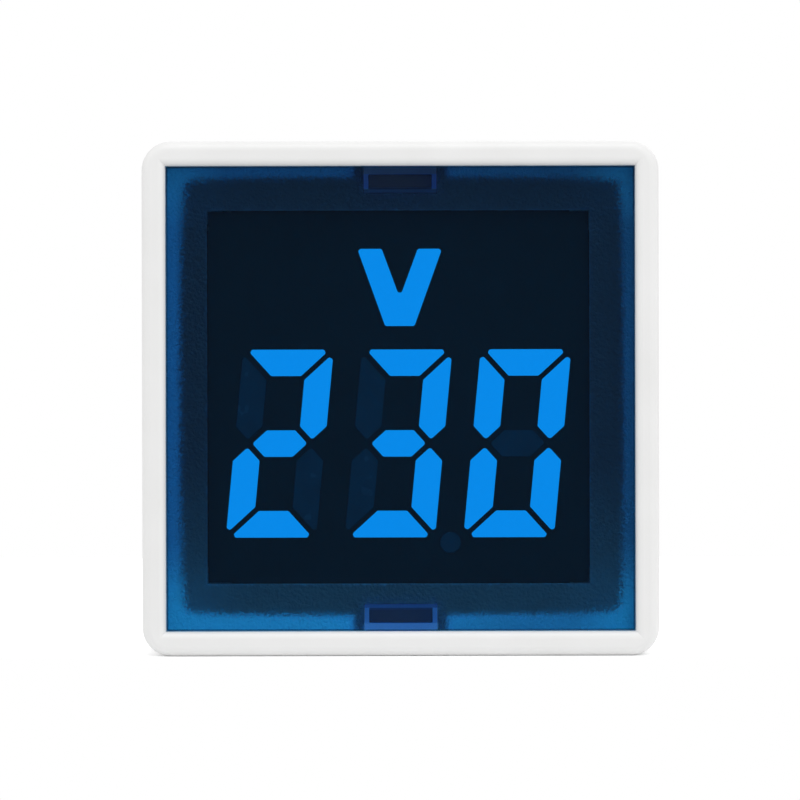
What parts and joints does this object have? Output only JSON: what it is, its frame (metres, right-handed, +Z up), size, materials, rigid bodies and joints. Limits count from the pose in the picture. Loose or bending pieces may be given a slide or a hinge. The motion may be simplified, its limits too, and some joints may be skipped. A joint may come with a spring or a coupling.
{
  "type": "plug-in voltmeter",
  "caption": "Square white plug-in mains voltmeter with a blue snap-in lens, a segment display behind a clear window and a round two-pin plug at the back.",
  "frame": {"origin": "middle of the plug face, on the plane of the pin axes", "axes": "+Y along the pins towards the socket, +Z up, so the display faces -Y"},
  "size_m": [0.05, 0.066, 0.0498],
  "materials": {
    "white_abs": "satin moulded",
    "blue_lens": "clear tinted, frosted border",
    "black_plastic": "matte moulded",
    "display_black": "matte printed face",
    "lit_resin": "diffuse resin, lit",
    "dark_resin": "diffuse resin, unlit",
    "nickel_brass": "nickel plated",
    "screw_steel": "zinc plated",
    "board_green": "solder mask",
    "film_yellow": "moulded box",
    "can_sleeve": "shrink sleeve",
    "varistor_blue": "dipped coat",
    "resistor_green": "lacquer",
    "chip_black": "moulded epoxy",
    "chip_tan": "fired body",
    "wire_brown": "insulation",
    "wire_blue": "insulation"
  },
  "bodies": {
    "root": {"front_case": "white_abs", "lens": "blue_lens", "rear_cover": "white_abs", "cover_screws": "screw_steel", "live_pin": "nickel_brass", "neutral_pin": "nickel_brass", "pin_clamp": "black_plastic", "clamp_screw": "screw_steel", "display_housing": "display_black", "lit_segments": "lit_resin", "dark_segments": "dark_resin", "volt_sign": "lit_resin", "decimal_point": "dark_resin", "display_leads": "nickel_brass", "main_board": "board_green", "film_capacitor": "film_yellow", "smoothing_capacitor": "can_sleeve", "varistor": "varistor_blue", "fusible_resistor": "resistor_green", "bridge_rectifier": "chip_black", "zener_diode": "chip_black", "meter_chip": "chip_black", "chip_resistors": "chip_black", "chip_capacitors": "chip_tan", "live_wire": "wire_brown", "neutral_wire": "wire_blue"}
  },
  "joints": []
}
